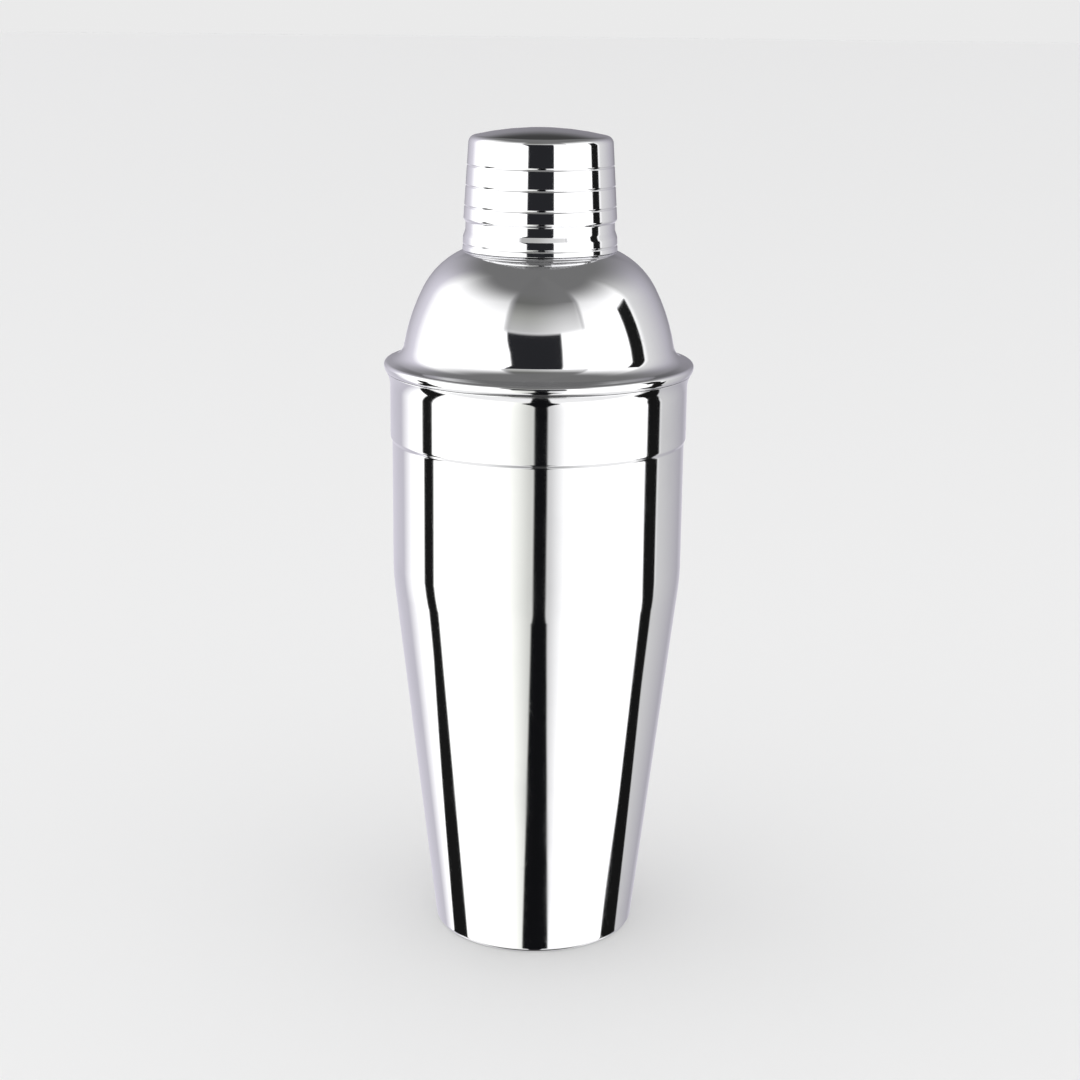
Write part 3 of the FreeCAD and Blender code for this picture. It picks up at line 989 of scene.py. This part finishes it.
def softbox_walls(graph, azimuth, elevation, studio):
    """Softboxes and the sides of the room by azimuth, other levels below the horizon than above it.
    They fade into a grey ceiling, sooner behind the shaker."""
    turn = (azimuth + 180.0) / 360.0
    white = 255.0 * studio.softbox ** (1 / DISPLAY_GAMMA)

    def stops(levels):
        return [((place + 180.0) / 360.0, grey(level, tint)) for place, level, tint in levels]

    upper = graph.ramp(turn, stops([
        (-180, 130, LAVENDER), (-155, 183, LAVENDER), (-134, 214, LAVENDER), (-117, white, PLAIN),
        (98, white, PLAIN), (106, 214, PLAIN), (140, 176, LAVENDER), (162, 139, LAVENDER),
        (180, 130, LAVENDER),
    ]))
    lower = graph.ramp(turn, stops([
        (-180, 212, LAVENDER), (-150, 199, LAVENDER), (-132, 190, LAVENDER), (-112, white, PLAIN),
        (-28, white, CREAM), (-6, 204, CREAM), (10, 204, PLAIN), (26, white, PLAIN),
        (104, white, PLAIN), (110, 200, PLAIN), (150, 166, LAVENDER), (180, 212, LAVENDER),
    ]))
    walls = graph.mix(elevation.rise(-9.0, -3.0), lower, upper)
    behind = (abs(azimuth) - 110.0).most(0.0)
    return graph.mix((elevation + behind * 0.35).rise(26.0, 64.0), walls, grey(110))


def with_grey_space(graph, azimuth, elevation, light):
    """Grey space above the gap, paler on its right, with a darker line along each softbox."""
    left_end, right_end = -31, 43
    height = (elevation - 28.0) / 32.0
    left_grey = graph.ramp(height, [
        (0.0, grey(188)), (0.3, grey(158, CREAM)), (0.58, grey(102, CREAM)), (1.0, grey(108)),
    ])
    right_grey = graph.ramp(height, [
        (0.0, grey(232)), (0.3, grey(190)), (0.58, grey(114)), (1.0, grey(112)),
    ])
    space = graph.mix(azimuth.rise(-14, 32), left_grey, right_grey)
    above = elevation.rise(27.0, 30.0)
    light = graph.mix(azimuth.within(left_end, right_end, 5) * above, light, space)
    left_line = 1 - abs(azimuth - left_end).rise(1, 5)
    right_line = 1 - abs(azimuth - right_end).rise(0.5, 3)
    lines = left_line.most(right_line) * above * (1 - elevation.rise(46, 62))
    return graph.mix(lines * 0.4, light, grey(96, LAVENDER))


def with_stands(graph, azimuth, elevation, light):
    """Dark stands beside the softboxes, which spread towards the table."""
    below = (-26.0 - elevation).most(0.0)
    feet = (1 - elevation.rise(-7, -5)) * elevation.rise(-43, -40)
    left = between(azimuth, -100.0 - (below * 2.1).least(20.0), -89.0)
    light = graph.mix(left * feet, light, grey(30))
    sunk = 1 - elevation.rise(-25, -14)
    right_in = 92.5 + sunk * 3.5 - (1 - elevation.rise(-34, -30)) * 4.0
    right_out = 107.5 + sunk * 2.5 + (below * 1.5).least(14.0)
    light = graph.mix(between(azimuth, right_in, right_out) * feet, light, grey(28))
    post = between(azimuth, 85.5, 100.5) * elevation.within(-7, 29.5, 1.0)
    return graph.mix(post, light, grey(30))


def make_studio_light(studio):
    """Two large softboxes left and right of the camera, a dark gap between them, a dark stand beside each
    and a grey ceiling, as functions of azimuth and elevation in degrees.

    Azimuth 0 is towards the camera and grows to the right. The camera itself sees a plain backdrop.
    """
    world = bpy.data.worlds.new("studio")
    bpy.context.scene.world = world
    world.use_nodes = True
    graph = Graph(world.node_tree)
    way = graph.node("ShaderNodeTexCoord").out("Generated")
    split = graph.node("ShaderNodeSeparateXYZ", None, {0: way})
    azimuth = graph.math("ARCTAN2", split.out(0), split.out(1) * -1.0) * math.degrees(1)
    elevation = graph.math("ARCSINE", split.out(2)) * math.degrees(1)
    light = softbox_walls(graph, azimuth, elevation, studio)
    light = with_grey_space(graph, azimuth, elevation, light)
    # The dark gap: a block above the level of the softboxes' feet, and a slit below it that widens
    block = between(azimuth, -19.5 - elevation.rise(4, 30) * 10.5, 20.5)
    light = graph.mix(block * elevation.within(-6, 28.5, 1.0), light, grey(42, INK))
    widening = graph.math("POWER", ((-22.0 - elevation) / 17.0).most(0.0), 2.6)
    half = (5.1 + widening * 10.9).least(16.0) - (1 - elevation.rise(-45, -40)) * 6.5
    slit = (1 - (abs(azimuth - 2.3) - half).rise(-1.0, 1.0)) * (1 - elevation.rise(-7, -5))
    light = graph.mix(slit, light, grey(24, INK))
    light = with_stands(graph, azimuth, elevation, light)
    # Table below, dark where the shaker shades it, and a darker patch of room behind
    light = graph.mix((1 - elevation.rise(-48, -42)) * (1 - slit), light, grey(238))
    light = graph.mix(1 - elevation.rise(-70, -58), light, grey(70))
    back = (abs(azimuth) - 158.0).rise(0, 18) * elevation.within(20, 60, 6)
    light = graph.mix(back, light, grey(64))

    def shine(colour_in):
        return graph.node("ShaderNodeBackground", None, {"Color": colour_in}).out(0)

    def either(share, low, high):
        return graph.node("ShaderNodeMixShader", None, {0: share, 1: low, 2: high}).out(0)

    ray = graph.node("ShaderNodeLightPath")
    studio_light = either(ray.out("Is Diffuse Ray"), shine(light), shine(rgba(studio.fill)))
    shown = either(ray.out("Is Camera Ray"), studio_light, shine(rgba(studio.backdrop)))
    graph.node("ShaderNodeOutputWorld", None, {"Surface": shown})


class VIEW3D_PT_shaker(Panel):
    """Buttons that make the shaker's pieces"""

    bl_label = "Cobbler Shaker"
    bl_idname = "VIEW3D_PT_shaker"
    bl_space_type = "VIEW_3D"
    bl_region_type = "UI"
    bl_category = "Shaker"

    def draw(self, context):
        for operator in OPERATORS:
            self.layout.operator(operator.bl_idname)


GROUPS = {
    "shaker_sheet": SheetSizes,
    "shaker_cup": CupSizes,
    "shaker_top": TopSizes,
    "shaker_plate": PlateSizes,
    "shaker_cap": CapSizes,
    "shaker_finish": FinishSettings,
    "shaker_studio": StudioSettings,
}
OPERATORS = (
    SHAKER_OT_cup, SHAKER_OT_strainer_top, SHAKER_OT_strainer_plate, SHAKER_OT_cap, SHAKER_OT_stage,
)


def register():
    for name, group in GROUPS.items():
        bpy.utils.register_class(group)
        setattr(bpy.types.Scene, name, PointerProperty(type=group))
    for operator in OPERATORS:
        bpy.utils.register_class(operator)
    bpy.utils.register_class(VIEW3D_PT_shaker)


def unregister():
    bpy.utils.unregister_class(VIEW3D_PT_shaker)
    for operator in reversed(OPERATORS):
        bpy.utils.unregister_class(operator)
    for name, group in reversed(GROUPS.items()):
        delattr(bpy.types.Scene, name)
        bpy.utils.unregister_class(group)


def main():
    register()
    bpy.context.scene.view_settings.view_transform = "Standard"
    bpy.ops.shaker.cup()
    bpy.ops.shaker.strainer_top()
    bpy.ops.shaker.strainer_plate()
    bpy.ops.shaker.cap()
    bpy.ops.shaker.stage()
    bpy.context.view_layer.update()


if __name__ == "__main__":
    main()
